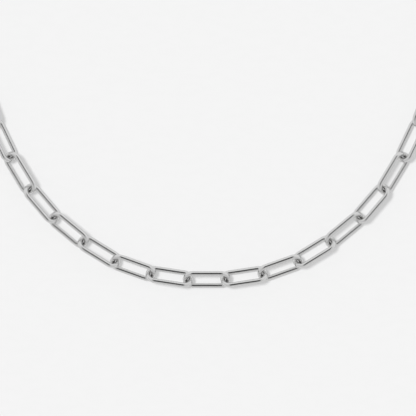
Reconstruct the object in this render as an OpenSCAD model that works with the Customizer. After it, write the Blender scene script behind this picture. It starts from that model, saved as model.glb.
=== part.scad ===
/* [Links] */
// Number of links on each side of the front link
side_links = 20; // [16:1:26]
// Length of a link over its ends
link_len = 12; // [10:0.5:16]
// Width of a link over its sides
link_w = 5; // [4.4:0.1:6]
// Diameter of the round wire of the links
link_wire = 1.2; // [0.9:0.1:1.4]
// Play between two wires that hold each other
play = 0.2; // [0.15:0.05:0.3]

/* [Jump rings] */
// Diameter of the round wire of the jump rings
ring_wire = 0.9; // [0.8:0.1:1.1]
// Gap inside a jump ring between the link and the clasp that it joins
ring_gap = 0.4; // [0.2:0.1:0.8]

/* [Clasp] */
// Length of the clasp from the end of its eye to the end of its hook
clasp_len = 16; // [13:0.5:18]
// Width of the clasp over its hook
clasp_w = 5; // [4.6:0.1:5.6]
// Diameter of the round wire of the hook
clasp_wire = 1.4; // [1.2:0.1:1.5]
// Diameter of the round wire of the eye
eye_wire = 0.9; // [0.8:0.1:1.2]
// Gap inside the eye beyond the jump ring that it holds
eye_gap = 0.8; // [0.6:0.1:1.2]
// Diameter of the ball that joins the eye to the hook
neck_d = 2.6; // [2.2:0.1:3]
// Wall of the gate sleeve round the wire on the raised side of the hook
gate_wall = 0.2; // [0.1:0.05:0.3]
// Bare wire between each end of the gate sleeve and the bends of the hook
gate_margin = 1; // [0.5:0.1:1.5]

/* [Hidden] */
// Turn in degrees at each joint of the front arc, outward from the front link
front_turns = [8.5, 11, 12, 8, 10, 9.5, 5.5];
// Least and most ease that the search for the closed loop tries, and the steps of its bisection
least_ease = 0.3;
most_ease = 4;
closing_steps = 40;
// Segments of the round wires
$fn = 48;

LINKS = [for (i = [1 : 2 * side_links + 1]) str("link_", i < 10 ? "0" : "", i)];

// A jump ring is wide enough for both wires that it holds, and the eye for the ring's wire
ring_d = link_wire + clasp_wire + ring_gap + 2 * (play + ring_wire);
eye_d = ring_wire + eye_gap + 2 * (play + eye_wire);

// Radius of the centre line at a link's round ends, round a jump ring, the hook and the eye
link_r = (link_w - link_wire) / 2;
ring_r = (ring_d - ring_wire) / 2;
hook_r = (clasp_w - clasp_wire) / 2;
eye_r = (eye_d - eye_wire) / 2;

// Length of the chain that a link, a jump ring and the clasp each take up
link_pitch = link_len - 2 * link_wire - play;
ring_pitch = ring_d - 2 * ring_wire - play;
clasp_pitch = clasp_len - clasp_wire - eye_wire - play;

// Links lean by turns to one side and the other, just far enough for their ends to pass each other
link_lean = acos(1 - (link_wire + play) / link_r) / 2;
// Height of the chain's axis above the surface, with the low side of each link lying on it
axis_z = link_r * sin(link_lean) + link_wire / 2;
// The rings and the clasp lean until they lie on the surface too
ring_lean = lying(ring_r, ring_wire);
clasp_lean = lying(hook_r, clasp_wire);

// Places counted outward from the front link: the links are 0 to side_links, then ring and clasp
ring_place = side_links + 1;
clasp_place = side_links + 2;
front_links = len(front_turns);
front_end = total(front_turns, front_links);
// How much of the remaining turn is kept for the last joints, so that both ends meet the clasp
back_ease = closed_ease(least_ease, most_ease, closing_steps);

// Front and back of the loop, measured from the axis of the front link
loop_front = -(link_r * cos(link_lean) + link_wire / 2);
loop_back = joint_at(ring_place, back_ease)[1] + hook_r * cos(clasp_lean) + clasp_wire / 2;
middle_y = (loop_front + loop_back) / 2;

// Lean at which a loop of wire has its centre on the chain's axis and one side on the surface
function lying(r, wire) = asin(min(1, (axis_z - wire / 2) / r));

// Sum of the first few values in a list
function total(list, count) = count == 0 ? 0 : list[count - 1] + total(list, count - 1);

// Heading of a place: the front arc keeps its turns, and the rest turns on to face the other side
function heading(place, ease) =
    place <= front_links
    ? total(front_turns, place)
    : front_end + (180 - front_end) * pow((place - front_links) / (clasp_place - front_links), ease);

// Length of chain that one place takes up
function pitch_of(place) = place <= side_links ? link_pitch : ring_pitch;

// Joint at the outer end of a place on the right, from the middle of the front link
function joint_at(place, ease) =
    place == 0
    ? [link_pitch / 2, 0]
    : joint_at(place - 1, ease)
      + pitch_of(place) * [cos(heading(place, ease)), sin(heading(place, ease))];

// The ease at which the right half of the loop ends at its end of the clasp
function closed_ease(low, high, steps) =
    let (mid = (low + high) / 2)
    steps == 0
    ? mid
    : joint_at(ring_place, mid)[0] > clasp_pitch / 2
      ? closed_ease(low, mid, steps - 1)
      : closed_ease(mid, high, steps - 1);

// Which side of a place is raised: the inner side at even places and the outer side at odd ones
function lean_side(place) = place % 2 == 0 ? 1 : -1;

// Middle of a place on the right side of the loop
function middle_at(place) = (joint_at(place - 1, back_ease) + joint_at(place, back_ease)) / 2;

// Lays a piece at its place, to the left of the front link where side is -1
module laid(place, side, lean) {
    at = place == 0 ? [0, 0] : middle_at(place);
    translate([side * at[0], at[1] - middle_y, axis_z])
        rotate([0, 0, side * heading(place, back_ease)])
            rotate([lean_side(place) * lean, 0, 0])
                children();
}

// Round wire bent along an arc about the origin, centred on +X
module bent_wire(r, wire, angle) {
    rotate([0, 0, -angle / 2])
        rotate_extrude(angle = angle)
            translate([r, 0])
                circle(d = wire);
}

// Straight round wire along X, starting at the origin
module straight_wire(length, wire) {
    rotate([0, 90, 0])
        cylinder(d = wire, h = length);
}

// Closed loop of round wire with two half-round ends and two straight sides
module wire_loop(length, width, wire) {
    r = (width - wire) / 2;
    end_x = (length - width) / 2;
    for (turn = [0, 180])
        rotate([0, 0, turn]) {
            translate([end_x, 0, 0])
                bent_wire(r, wire, 180);
            translate([-end_x, r, 0])
                straight_wire(2 * end_x, wire);
        }
}

module paperclip_link() {
    color("silver")
        wire_loop(link_len, link_w, link_wire);
}

module jump_ring() {
    color("silver")
        bent_wire(ring_r, ring_wire, 360);
}

// Shut hook with its gate sleeve, the ball at its heel and the eye, all in one
module clasp() {
    hook_end = (clasp_len + clasp_wire - eye_wire) / 2;
    eye_x = hook_end - clasp_len + eye_d / 2;
    neck_x = eye_x + eye_r + neck_d / 2;
    hook_len = hook_end - neck_x + clasp_wire / 2;
    hook_x = hook_end - hook_len / 2;
    gate_len = hook_len - clasp_w - 2 * gate_margin;
    color("silver") {
        translate([hook_x, 0, 0])
            wire_loop(hook_len, clasp_w, clasp_wire);
        translate([hook_x - gate_len / 2, lean_side(clasp_place) * hook_r, 0])
            straight_wire(gate_len, clasp_wire + 2 * gate_wall);
        translate([neck_x, 0, 0])
            sphere(d = neck_d);
        translate([eye_x, 0, 0])
            bent_wire(eye_r, eye_wire, 360);
    }
}

for (i = [0 : len(LINKS) - 1])
    laid(abs(i - side_links), i < side_links ? -1 : 1, link_lean) paperclip_link();
laid(ring_place, -1, ring_lean) jump_ring();  // jump_ring_left
laid(ring_place, 1, ring_lean) jump_ring();  // jump_ring_right
translate([0, joint_at(ring_place, back_ease)[1] - middle_y, axis_z])
        rotate([0, 0, 180])
            rotate([lean_side(clasp_place) * clasp_lean, 0, 0])
                clasp();
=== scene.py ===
"""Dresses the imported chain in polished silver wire, on a pale floor under soft studio light."""

import math

import bpy
import numpy as np
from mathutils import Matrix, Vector


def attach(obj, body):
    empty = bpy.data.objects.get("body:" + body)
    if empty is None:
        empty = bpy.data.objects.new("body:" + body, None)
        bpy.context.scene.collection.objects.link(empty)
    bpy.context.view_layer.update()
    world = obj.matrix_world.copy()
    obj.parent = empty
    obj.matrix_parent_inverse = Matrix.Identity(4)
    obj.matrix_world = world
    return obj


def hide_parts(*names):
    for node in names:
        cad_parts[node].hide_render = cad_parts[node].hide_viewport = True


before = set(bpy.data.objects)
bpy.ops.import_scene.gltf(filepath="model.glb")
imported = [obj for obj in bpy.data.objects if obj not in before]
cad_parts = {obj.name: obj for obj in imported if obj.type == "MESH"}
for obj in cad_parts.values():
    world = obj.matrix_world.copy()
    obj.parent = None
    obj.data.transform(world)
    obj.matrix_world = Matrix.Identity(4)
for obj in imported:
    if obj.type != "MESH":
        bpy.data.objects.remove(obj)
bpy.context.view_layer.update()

MM = 0.001

# Sizes of the clasp that its outline doesn't give
HOOK_WIRE = 1.4 * MM
EYE_WIRE = 0.9 * MM
EYE_D = 3.9 * MM

# The gate sleeve: its wall, the bare wire at each end, its rounded rims, and its grooves' places and size
GATE_WALL = 0.2 * MM
GATE_MARGIN = 1 * MM
GATE_ROUNDING = 0.15 * MM
GATE_GROOVES = (0.45 * MM, 0.8 * MM)
GROOVE_W = 0.14 * MM
GROOVE_DEPTH = 0.07 * MM

# Section of a groove: places across it as shares of its width, each with its share of the depth
GROOVE_SECTION = ((-0.5, 0), (-0.2, 0.8), (0, 1), (0.2, 0.8), (0.5, 0))

# The collar between ball and eye: how far past the middle of the eye's wire it ends and its radius
# there, the angle at which it leaves the ball, and the power of its flare
COLLAR_REACH = EYE_WIRE / 6
COLLAR_END_R = EYE_WIRE / 3
COLLAR_LEAVES = 148
COLLAR_FLARE = 1.3

# Width and depth of the cut in each jump ring, and of the gap between the gate and the hook's end
RING_CUT = (0.06 * MM, 0.05 * MM)
GATE_GAP = (0.12 * MM, 0.08 * MM)

# Shares of a cut's depth at even steps across it
CUT_SECTION = (0, 0.8, 1, 0.8, 0)

# Steps of the meshes: a loop's bow and side, round the wires and turned forms, the gate's rim,
# the collar and the ball
BOW_STEPS = 36
SIDE_STEPS = 11
WIRE_SIDES = 28
HOOK_SIDES = 32
TURNED_SIDES = 40
RIM_STEPS = 6
COLLAR_STEPS = 6
BALL_STEPS = 28

# Edges that turn by more degrees than this are shaded as sharp
SHARP_ANGLE = 35

# The photo's frame and the place of the front link's middle in it
PHOTO_PX = 416
PHOTO_WIDTH = 104 * MM
FRONT_X_PX = 206.8
FRONT_Y_PX = 279.5
LENS = 400

# The floor: how bright it looks, its colour and its size
FLOOR_LIGHT = 0.908
FLOOR_ALBEDO = 0.2
FLOOR_SIZE = 4

# The studio walls: their mean light on the floor, their light on the bright and on the dim side,
# where the bright side is, how far round the change reaches, and how high the floor's light does
WALLS_SHARE = 0.62
WALLS_BRIGHT = 0.84
WALLS_DIM = 0.64
WALLS_AZIMUTH = 80
WALLS_TURN = 0.8
HORIZON = 0.1

# The key light: what it adds to the floor's light, its direction and its width
KEY_SHARE = 0.31
KEY_AZIMUTH = 156
KEY_ELEVATION = 69
KEY_ANGLE = 15

# The dark opening overhead that the wires reflect: half its angle across and along, the shares of
# them between which its rim fades, and its light
OPENING_ACROSS = 15.5
OPENING_ALONG = 34
OPENING_RIM = (0.7, 1.3)
OPENING_LIGHT = 0.056

# The silver's bright and cloudy colours, and how dark it is when seen edge on
LINKS_COLOURS = ((0.77, 0.77, 0.768), (0.73, 0.73, 0.726))
FASTENING_COLOURS = ((0.76, 0.76, 0.757), (0.72, 0.72, 0.715))
EDGE_TINT = 0.5

# Marks on the silver: noise waves to a millimetre along the wire and round it, and their detail
DRAWN_LINES = ((0.2, 22, 1), 3)
CLOUDS = ((0.5, 0.9, 1), 2)
NICKS = ((2.2, 3.1, 1), 4)

# The nicks' share of the relief beside the lines, and the relief's strength and depth
NICKS_SHARE = 0.8
MARKS_RELIEF = (1, 0.008 * MM)

# Roughness of bright and of cloudy silver, what a nick adds to it and where in the noise nicks lie
POLISH_ROUGHNESS = (0.07, 0.13)
NICK_ROUGHNESS = 0.14
NICK_RANGE = (0.56, 0.72)

# Tarnish with painted shade in the crevices: how far it reaches from a wire that touches, its colour,
# the nearness over which it grows, how much of that nearness counts where it is thinnest, and its
# roughness
TARNISH_AND_SHADE_REACH = 0.85 * MM
TARNISH_AND_SHADE_COLOUR = (0.52, 0.515, 0.51)
TARNISH_AND_SHADE_RANGE = (0.1, 0.7)
TARNISH_AND_SHADE_THIN = 0.8
TARNISH_AND_SHADE_ROUGHNESS = 0.2

# The paper floor: noise waves to a metre and their detail, how much they vary its colour, its
# roughness, and its relief's strength and depth
PAPER_GRAIN = ((1800, 1800, 1800), 3)
PAPER_FIBRES = ((260, 700, 260), 2)
PAPER_VARIATION = 0.01
PAPER_ROUGHNESS = (0.85, 0.95)
PAPER_RELIEF = (0.1, 0.005 * MM)

# The middle of a noise's range, where most of its values lie
NOISE_RANGE = (0.3, 0.7)


# Where a CAD piece lies


def triangles_of(node):
    """The corners of a CAD node's triangles, as an array of n x 3 x 3."""
    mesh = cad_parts[node].data
    mesh.calc_loop_triangles()
    points = np.empty(len(mesh.vertices) * 3)
    mesh.vertices.foreach_get("co", points)
    corners = np.empty(len(mesh.loop_triangles) * 3, dtype=np.int32)
    mesh.loop_triangles.foreach_get("vertices", corners)
    return points.reshape(-1, 3)[corners].reshape(-1, 3, 3)


def seat_of(node):
    """The middle of a CAD node, its long, wide and thin directions, and its size along each."""
    tri = triangles_of(node)
    areas = np.linalg.norm(np.cross(tri[:, 1] - tri[:, 0], tri[:, 2] - tri[:, 0]), axis=1) / 2
    middle = (tri.mean(axis=1) * areas[:, None]).sum(axis=0) / areas.sum()
    local = tri - middle
    sums = local.sum(axis=1)
    spread = np.einsum("n,ni,nj->ij", areas, sums, sums)
    spread += np.einsum("n,nki,nkj->ij", areas, local, local)
    thin = np.linalg.eigh(spread)[1][:, 0]
    thin = thin * math.copysign(1, thin[2])
    long_way = np.cross((0, 0, 1), thin)
    long_way = long_way / np.linalg.norm(long_way)
    directions = np.array([long_way, np.cross(thin, long_way), thin])
    reach = local.reshape(-1, 3) @ directions.T
    middle = middle + (reach.max(axis=0) + reach.min(axis=0)) / 2 @ directions
    return middle, directions, np.ptp(reach, axis=0)


# Forms, each as points, faces and the distances along and around the wire at each face's corners


def loop_path(length, width, wire, middle=(0, 0), cut=None):
    """A closed wire loop in its own plane: centre line, outward directions, distance along it and radii.

    A cut is given as its place along the loop, its width and its depth.
    """
    r = (width - wire) / 2
    half = (length - width) / 2 if length - width > wire else 0
    bow = math.pi * r
    lap = bow + 2 * half
    stops = [np.arange(BOW_STEPS) * bow / BOW_STEPS]
    if half:
        stops.append(bow + np.arange(SIDE_STEPS) * 2 * half / SIDE_STEPS)
    stops += [stop + lap for stop in stops]
    if cut:
        cut_at, cut_w, cut_depth = cut
        across = cut_at + np.linspace(-0.5, 0.5, len(CUT_SECTION)) * cut_w
        stops.append(across)
    along = np.unique(np.concatenate(stops))
    turned_round = np.where(along < lap, 1, -1)[:, None]
    gone = along % lap
    a = np.minimum(gone / r, math.pi) - math.pi / 2
    outward = np.stack([np.where(gone < bow, np.cos(a), 0), np.sin(a)], axis=1)
    points = r * outward + np.stack([half - np.maximum(gone - bow, 0), 0 * a], axis=1)
    radii = np.full(len(along), wire / 2)
    if cut:
        radii -= cut_depth * np.interp(along, across, CUT_SECTION)
    return points * turned_round + middle, outward * turned_round, np.append(along, 2 * lap), radii


def swept(path, sides=WIRE_SIDES):
    """Round wire along a closed path in the XY plane."""
    points, outward, along, radii = path
    rings = len(points)
    turn = np.arange(sides) * 2 * math.pi / sides
    co = np.empty((rings, sides, 3))
    co[..., :2] = points[:, None] + outward[:, None] * (np.cos(turn) * radii[:, None])[..., None]
    co[..., 2] = np.sin(turn) * radii[:, None]
    i, j = np.meshgrid(np.arange(rings), np.arange(sides), indexing="ij")
    ahead = (i + 1) % rings * sides
    beside = (j + 1) % sides
    faces = np.stack([i * sides + j, ahead + j, ahead + beside, i * sides + beside], axis=-1)
    girth = 2 * math.pi * radii.max() / sides
    uv = np.empty((rings, sides, 4, 2))
    uv[..., 0] = np.stack([along[i], along[i + 1], along[i + 1], along[i]], axis=-1)
    uv[..., 1] = np.stack([j, j, j + 1, j + 1], axis=-1) * girth
    return co.reshape(-1, 3), faces.reshape(-1, 4).tolist(), uv.reshape(-1, 2)


def turned(profile, middle_y=0, sides=TURNED_SIDES):
    """A closed form turned about an axis along X, from rows of place and radius.

    It starts a third of a step round, so that its edges miss the edges of the wire that it is fused with.
    """
    rows = np.array(profile)
    rings = len(rows)
    turn = (np.arange(sides) + 1 / 3) * 2 * math.pi / sides
    co = np.empty((rings, sides, 3))
    co[..., 0] = rows[:, :1]
    co[..., 1] = middle_y + rows[:, 1:] * np.cos(turn)
    co[..., 2] = rows[:, 1:] * np.sin(turn)
    i, j = np.meshgrid(np.arange(rings - 1), np.arange(sides), indexing="ij")
    ahead = (i + 1) * sides
    beside = (j + 1) % sides
    faces = np.stack([i * sides + j, i * sides + beside, ahead + beside, ahead + j], axis=-1)
    ends = [list(range(sides))[::-1], [(rings - 1) * sides + k for k in range(sides)]]
    girth = 2 * math.pi * rows[:, 1].max() / sides
    uv = np.empty((rings - 1, sides, 4, 2))
    uv[..., 0] = np.stack([rows[i, 0], rows[i, 0], rows[i + 1, 0], rows[i + 1, 0]], axis=-1)
    uv[..., 1] = np.stack([j, j + 1, j + 1, j], axis=-1) * girth
    uv = np.concatenate([uv.reshape(-1, 2), np.full((2 * sides, 2), rows[-1])])
    return co.reshape(-1, 3), faces.reshape(-1, 4).tolist() + ends, uv


def mesh_of(name, form, middle, directions):
    """The mesh of one form, laid where the CAD piece lies."""
    co, faces, uv = form
    mesh = bpy.data.meshes.new(name)
    mesh.from_pydata((middle + co @ directions).tolist(), [], faces)
    mesh.uv_layers.new(name="wire_mm").data.foreach_set("uv", (uv / MM).ravel())
    return mesh


def fused(meshes):
    """One closed mesh out of closed meshes that overlap."""
    objects = [bpy.data.objects.new(mesh.name, mesh) for mesh in meshes]
    for part in objects:
        bpy.context.scene.collection.objects.link(part)
    for part in objects[1:]:
        joined = objects[0].modifiers.new(part.name, "BOOLEAN")
        joined.operation = "UNION"
        joined.solver = "EXACT"
        joined.object = part
    seen = objects[0].evaluated_get(bpy.context.evaluated_depsgraph_get())
    whole = bpy.data.meshes.new_from_object(seen)
    for part in objects:
        bpy.data.objects.remove(part)
    return whole


def add_nearness(mesh, others):
    """A value for each point of a mesh that is 1 where another wire touches it and 0 past the reach."""
    points = np.empty(len(mesh.vertices) * 3)
    mesh.vertices.foreach_get("co", points)
    points = points.reshape(-1, 3)
    gap = np.full(len(points), TARNISH_AND_SHADE_REACH)
    for line, radius in others:
        away = np.linalg.norm(points[:, None] - line[None], axis=2).min(axis=1) - radius
        gap = np.minimum(gap, np.maximum(away, 0))
    # The nearness sets where the silver carries tarnish with painted shade
    mesh.attributes.new("nearness", "FLOAT", "POINT").data.foreach_set("value", 1 - gap / TARNISH_AND_SHADE_REACH)


# The clasp


def gate_profile(length, r):
    """Half of the gate sleeve, from its rounded rim over its two grooves, and then its mirror image."""
    half = [(0, HOOK_WIRE / 2 - GATE_WALL)]
    for step in range(RIM_STEPS + 1):
        a = math.radians(90 * step / RIM_STEPS)
        half.append((GATE_ROUNDING * (1 - math.cos(a)), r - GATE_ROUNDING * (1 - math.sin(a))))
    for groove in GATE_GROOVES:
        for offset, depth in GROOVE_SECTION:
            half.append((groove + offset * GROOVE_W, r - depth * GROOVE_DEPTH))
    return half + [(length - x, radius) for x, radius in reversed(half)]


def heel_profile(eye_x, ball_x, ball_r):
    """A short collar that starts inside the eye's wire, and the ball at the hook's heel."""
    end_x = eye_x - COLLAR_REACH
    join = math.radians(COLLAR_LEAVES)
    join_x = ball_x + ball_r * math.cos(join)
    join_r = ball_r * math.sin(join)
    profile = []
    for step in range(COLLAR_STEPS):
        t = step / COLLAR_STEPS
        flare = t ** COLLAR_FLARE
        profile.append((end_x + (join_x - end_x) * t, COLLAR_END_R + (join_r - COLLAR_END_R) * flare))
    for step in range(BALL_STEPS):
        a = join * (1 - step / BALL_STEPS)
        profile.append((ball_x + ball_r * math.cos(a), ball_r * math.sin(a)))
    return profile


def clasp_forms(length, width, thickness):
    """Hook, gate sleeve, heel and eye in the clasp's own plane, and the paths of its two loops."""
    middle_y = -GATE_WALL / 2
    hook_w = width - GATE_WALL
    hook_r = (hook_w - HOOK_WIRE) / 2
    ball_r = thickness / 2
    eye_x = (EYE_D - length) / 2
    eye_r = (EYE_D - EYE_WIRE) / 2
    ball_x = eye_x + eye_r + ball_r
    hook_len = length / 2 - ball_x + HOOK_WIRE / 2
    hook_x = (length - hook_len) / 2
    gate_len = hook_len - hook_w - 2 * GATE_MARGIN
    gap_at = math.pi * hook_r + GATE_MARGIN / 2
    hook = loop_path(hook_len, hook_w, HOOK_WIRE, (hook_x, middle_y), (gap_at, *GATE_GAP))
    eye = loop_path(EYE_D, EYE_D, EYE_WIRE, (eye_x, middle_y))
    gate = [(hook_x - gate_len / 2 + x, r) for x, r in gate_profile(gate_len, HOOK_WIRE / 2 + GATE_WALL)]
    heel = heel_profile(eye_x + eye_r, ball_x, ball_r)
    forms = [swept(hook, HOOK_SIDES), turned(gate, middle_y + hook_r), turned(heel, middle_y), swept(eye)]
    return forms, [hook, eye]


# Materials


def node_tree(name):
    """A new material with its nodes, its links and its shader."""
    material = bpy.data.materials.new(name)
    material.use_nodes = True
    nodes = material.node_tree.nodes
    return material, nodes, material.node_tree.links, nodes["Principled BSDF"]


def noise_of(nodes, links, where, scale, detail):
    """Noise with its own scale in each direction."""
    stretch = nodes.new("ShaderNodeVectorMath")
    stretch.operation = "MULTIPLY"
    stretch.inputs[1].default_value = scale
    noise = nodes.new("ShaderNodeTexNoise")
    noise.inputs["Scale"].default_value = 1
    noise.inputs["Detail"].default_value = detail
    links.new(where, stretch.inputs[0])
    links.new(stretch.outputs["Vector"], noise.inputs["Vector"])
    return noise.outputs["Fac"]


def mapped(nodes, links, value, low, high, to_low, to_high):
    """A value carried smoothly from one range to another."""
    ramp = nodes.new("ShaderNodeMapRange")
    ramp.interpolation_type = "SMOOTHSTEP"
    for name, number in (("From Min", low), ("From Max", high), ("To Min", to_low), ("To Max", to_high)):
        ramp.inputs[name].default_value = number
    links.new(value, ramp.inputs["Value"])
    return ramp.outputs["Result"]


def calc(nodes, links, operation, first, second):
    """One calculation on two values, each of them a node's output or a number."""
    node = nodes.new("ShaderNodeMath")
    node.operation = operation
    for socket, value in zip(node.inputs, (first, second)):
        if isinstance(value, (int, float)):
            socket.default_value = value
        else:
            links.new(value, socket)
    return node.outputs["Value"]


def colour_between(nodes, links, amount, first, second):
    """A colour between two, each of them a node's output or three numbers."""
    mix = nodes.new("ShaderNodeMix")
    mix.data_type = "RGBA"
    links.new(amount, mix.inputs[0])
    for socket, colour in ((mix.inputs[6], first), (mix.inputs[7], second)):
        if isinstance(colour, tuple):
            socket.default_value = (*colour, 1)
        else:
            links.new(colour, socket)
    return mix.outputs[2]


def bumped(nodes, links, shader, height, strength, distance):
    """Relief from a height on the shader's surface."""
    bump = nodes.new("ShaderNodeBump")
    bump.inputs["Strength"].default_value = strength
    bump.inputs["Distance"].default_value = distance
    links.new(height, bump.inputs["Height"])
    links.new(bump.outputs["Normal"], shader.inputs["Normal"])


def silver(name, bright, cloudy):
    """Polished silver wire: fine drawn lines, cloudy polish, nicks, and tarnish with painted shade where
    wires touch.
    """
    material, nodes, links, shader = node_tree(name)
    uv = nodes.new("ShaderNodeUVMap")
    uv.uv_map = "wire_mm"
    near = nodes.new("ShaderNodeAttribute")
    near.attribute_name = "nearness"
    lines = noise_of(nodes, links, uv.outputs["UV"], *DRAWN_LINES)
    patches = noise_of(nodes, links, uv.outputs["UV"], *CLOUDS)
    nicks = noise_of(nodes, links, uv.outputs["UV"], *NICKS)

    thinned = mapped(nodes, links, patches, *NOISE_RANGE, TARNISH_AND_SHADE_THIN, 1)
    nearness = calc(nodes, links, "MULTIPLY", near.outputs["Fac"], thinned)
    # Tarnish with painted shade: darker, duller silver where another wire comes near
    tarnish_and_shade = mapped(nodes, links, nearness, *TARNISH_AND_SHADE_RANGE, 0, 1)
    clouds = mapped(nodes, links, patches, *NOISE_RANGE, 0, 1)
    polish = colour_between(nodes, links, clouds, bright, cloudy)
    links.new(colour_between(nodes, links, tarnish_and_shade, polish, TARNISH_AND_SHADE_COLOUR), shader.inputs["Base Color"])

    rough = mapped(nodes, links, patches, *NOISE_RANGE, *POLISH_ROUGHNESS)
    rough = calc(nodes, links, "ADD", rough, mapped(nodes, links, nicks, *NICK_RANGE, 0, NICK_ROUGHNESS))
    rough = calc(nodes, links, "ADD", rough, calc(nodes, links, "MULTIPLY", tarnish_and_shade, TARNISH_AND_SHADE_ROUGHNESS))
    links.new(rough, shader.inputs["Roughness"])

    height = calc(nodes, links, "ADD", lines, calc(nodes, links, "MULTIPLY", nicks, NICKS_SHARE))
    bumped(nodes, links, shader, height, *MARKS_RELIEF)
    shader.inputs["Metallic"].default_value = 1
    shader.inputs["Specular Tint"].default_value = (EDGE_TINT, EDGE_TINT, EDGE_TINT, 1)
    return material


def paper():
    """Matt white paper with a fine grain, lit a little from behind."""
    material, nodes, links, shader = node_tree("pale_floor")
    where = nodes.new("ShaderNodeTexCoord").outputs["Object"]
    grain = noise_of(nodes, links, where, *PAPER_GRAIN)
    fibres = noise_of(nodes, links, where, *PAPER_FIBRES)
    pale = (FLOOR_ALBEDO * (1 + PAPER_VARIATION),) * 3
    dull = (FLOOR_ALBEDO * (1 - PAPER_VARIATION),) * 3
    colour = colour_between(nodes, links, mapped(nodes, links, fibres, *NOISE_RANGE, 0, 1), dull, pale)
    links.new(colour, shader.inputs["Base Color"])
    links.new(mapped(nodes, links, grain, *NOISE_RANGE, *PAPER_ROUGHNESS), shader.inputs["Roughness"])
    bumped(nodes, links, shader, grain, *PAPER_RELIEF)
    shader.inputs["Specular IOR Level"].default_value = 0
    shader.inputs["Emission Color"].default_value = (1, 1, 1, 1)
    shader.inputs["Emission Strength"].default_value = FLOOR_LIGHT - KEY_SHARE - WALLS_SHARE * FLOOR_ALBEDO
    return material


# Stage


def make_floor():
    """The wide sheet of paper that the chain lies on."""
    bpy.ops.mesh.primitive_plane_add(size=FLOOR_SIZE)
    floor = bpy.context.object
    floor.name = "floor"
    floor.data.materials.append(paper())


def make_world():
    """Pale studio walls with a narrow dark opening overhead, which draws the dark line along each wire."""
    world = bpy.data.worlds.new("studio")
    bpy.context.scene.world = world
    world.use_nodes = True
    nodes = world.node_tree.nodes
    links = world.node_tree.links
    where = nodes.new("ShaderNodeTexCoord").outputs["Generated"]

    azimuth = math.radians(WALLS_AZIMUTH)
    facing = nodes.new("ShaderNodeVectorMath")
    facing.operation = "DOT_PRODUCT"
    facing.inputs[1].default_value = (math.cos(azimuth), math.sin(azimuth), 0)
    links.new(where, facing.inputs[0])
    toward_bright = facing.outputs["Value"]
    walls = mapped(nodes, links, toward_bright, -WALLS_TURN, WALLS_TURN, WALLS_DIM, WALLS_BRIGHT)
    height = nodes.new("ShaderNodeSeparateXYZ")
    links.new(where, height.inputs[0])
    horizon = mapped(nodes, links, height.outputs["Z"], 0, HORIZON, FLOOR_LIGHT, 0)
    walls = calc(nodes, links, "MAXIMUM", walls, horizon)

    across = 1 / math.sin(math.radians(OPENING_ACROSS))
    lengthways = 1 / math.sin(math.radians(OPENING_ALONG))
    stretched = nodes.new("ShaderNodeVectorMath")
    stretched.operation = "MULTIPLY"
    stretched.inputs[1].default_value = (across, lengthways, 0)
    links.new(where, stretched.inputs[0])
    away = nodes.new("ShaderNodeVectorMath")
    away.operation = "LENGTH"
    links.new(stretched.outputs["Vector"], away.inputs[0])
    outside = mapped(nodes, links, away.outputs["Value"], *OPENING_RIM, 0, 1)

    light = nodes.new("ShaderNodeMix")
    light.inputs[2].default_value = OPENING_LIGHT
    links.new(outside, light.inputs[0])
    links.new(walls, light.inputs[3])
    nodes["Background"].inputs["Color"].default_value = (1, 1, 1, 1)
    links.new(light.outputs[0], nodes["Background"].inputs["Strength"])


def make_key():
    """Soft light from the upper left, which throws the narrow shadow beside each wire."""
    azimuth = math.radians(KEY_AZIMUTH)
    elevation = math.radians(KEY_ELEVATION)
    data = bpy.data.lights.new("key", "SUN")
    data.energy = KEY_SHARE * math.pi / (FLOOR_ALBEDO * math.sin(elevation))
    data.angle = math.radians(KEY_ANGLE)
    light = bpy.data.objects.new("key", data)
    bpy.context.scene.collection.objects.link(light)
    level = math.cos(elevation)
    toward = Vector((math.cos(azimuth) * level, math.sin(azimuth) * level, math.sin(elevation)))
    light.rotation_euler = toward.to_track_quat("Z", "Y").to_euler()
    light.visible_glossy = False


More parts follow.
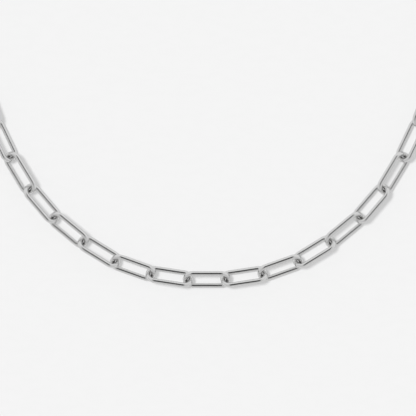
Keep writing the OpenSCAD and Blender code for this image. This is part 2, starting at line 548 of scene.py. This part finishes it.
def make_camera(front):
    """Straight above, with the middle of the front link where the photo has it."""
    data = bpy.data.cameras.new("camera")
    data.lens = LENS
    camera = bpy.data.objects.new("camera", data)
    bpy.context.scene.collection.objects.link(camera)
    photo_px = PHOTO_WIDTH / PHOTO_PX
    x = front[0] + (PHOTO_PX / 2 - FRONT_X_PX) * photo_px
    y = front[1] + (FRONT_Y_PX - PHOTO_PX / 2) * photo_px
    camera.location = (x, y, front[2] + PHOTO_WIDTH * data.lens / data.sensor_width)
    bpy.context.scene.camera = camera


# The chain


def forms_of(node, size):
    """The forms of a piece in its own plane, and the paths of its loops of wire."""
    if node == "clasp":
        return clasp_forms(*size)
    cut_at = math.pi * (size[1] - size[2]) / 2
    path = loop_path(*size, cut=(cut_at, *RING_CUT) if node.startswith("jump") else None)
    return [swept(path)], [path]


def wires_beside(node):
    """The centre lines and radii of the wires that lie near a piece."""
    middle, _, size = SEATS[node]
    wires = []
    for other, (other_middle, _, other_size) in SEATS.items():
        if other != node and np.linalg.norm(other_middle - middle) < (size[0] + other_size[0]) / 2:
            wires += LINES[other]
    return wires


def dress(node, material):
    """The piece of silver that stands for a CAD node."""
    middle, directions, _ = SEATS[node]
    meshes = [mesh_of(node + "_wire", form, middle, directions) for form in FORMS[node]]
    mesh = fused(meshes) if len(meshes) > 1 else meshes[0]
    mesh.shade_smooth()
    mesh.set_sharp_from_angle(angle=math.radians(SHARP_ANGLE))
    add_nearness(mesh, wires_beside(node))
    mesh.materials.clear()
    mesh.materials.append(material)
    piece = bpy.data.objects.new(node + "_wire", mesh)
    bpy.context.scene.collection.objects.link(piece)
    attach(piece, "root")
    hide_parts(node)


SEATS = {node: seat_of(node) for node in sorted(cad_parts)}
FORMS = {}
LINES = {}
for node, (middle, directions, size) in SEATS.items():
    FORMS[node], paths = forms_of(node, size)
    LINES[node] = [(middle + path[0] @ directions[:2], path[3].max()) for path in paths]

SILVERS = {
    "silver_links": silver("links_silver", *LINKS_COLOURS),
    "silver_fastening": silver("fastening_silver", *FASTENING_COLOURS),
}
for node in SEATS:
    slot = "silver_links" if node.startswith("link") else "silver_fastening"
    dress(node, SILVERS[slot])

make_floor()
make_world()
make_key()
make_camera(SEATS["link_21"][0])
bpy.context.scene.view_settings.view_transform = "Standard"
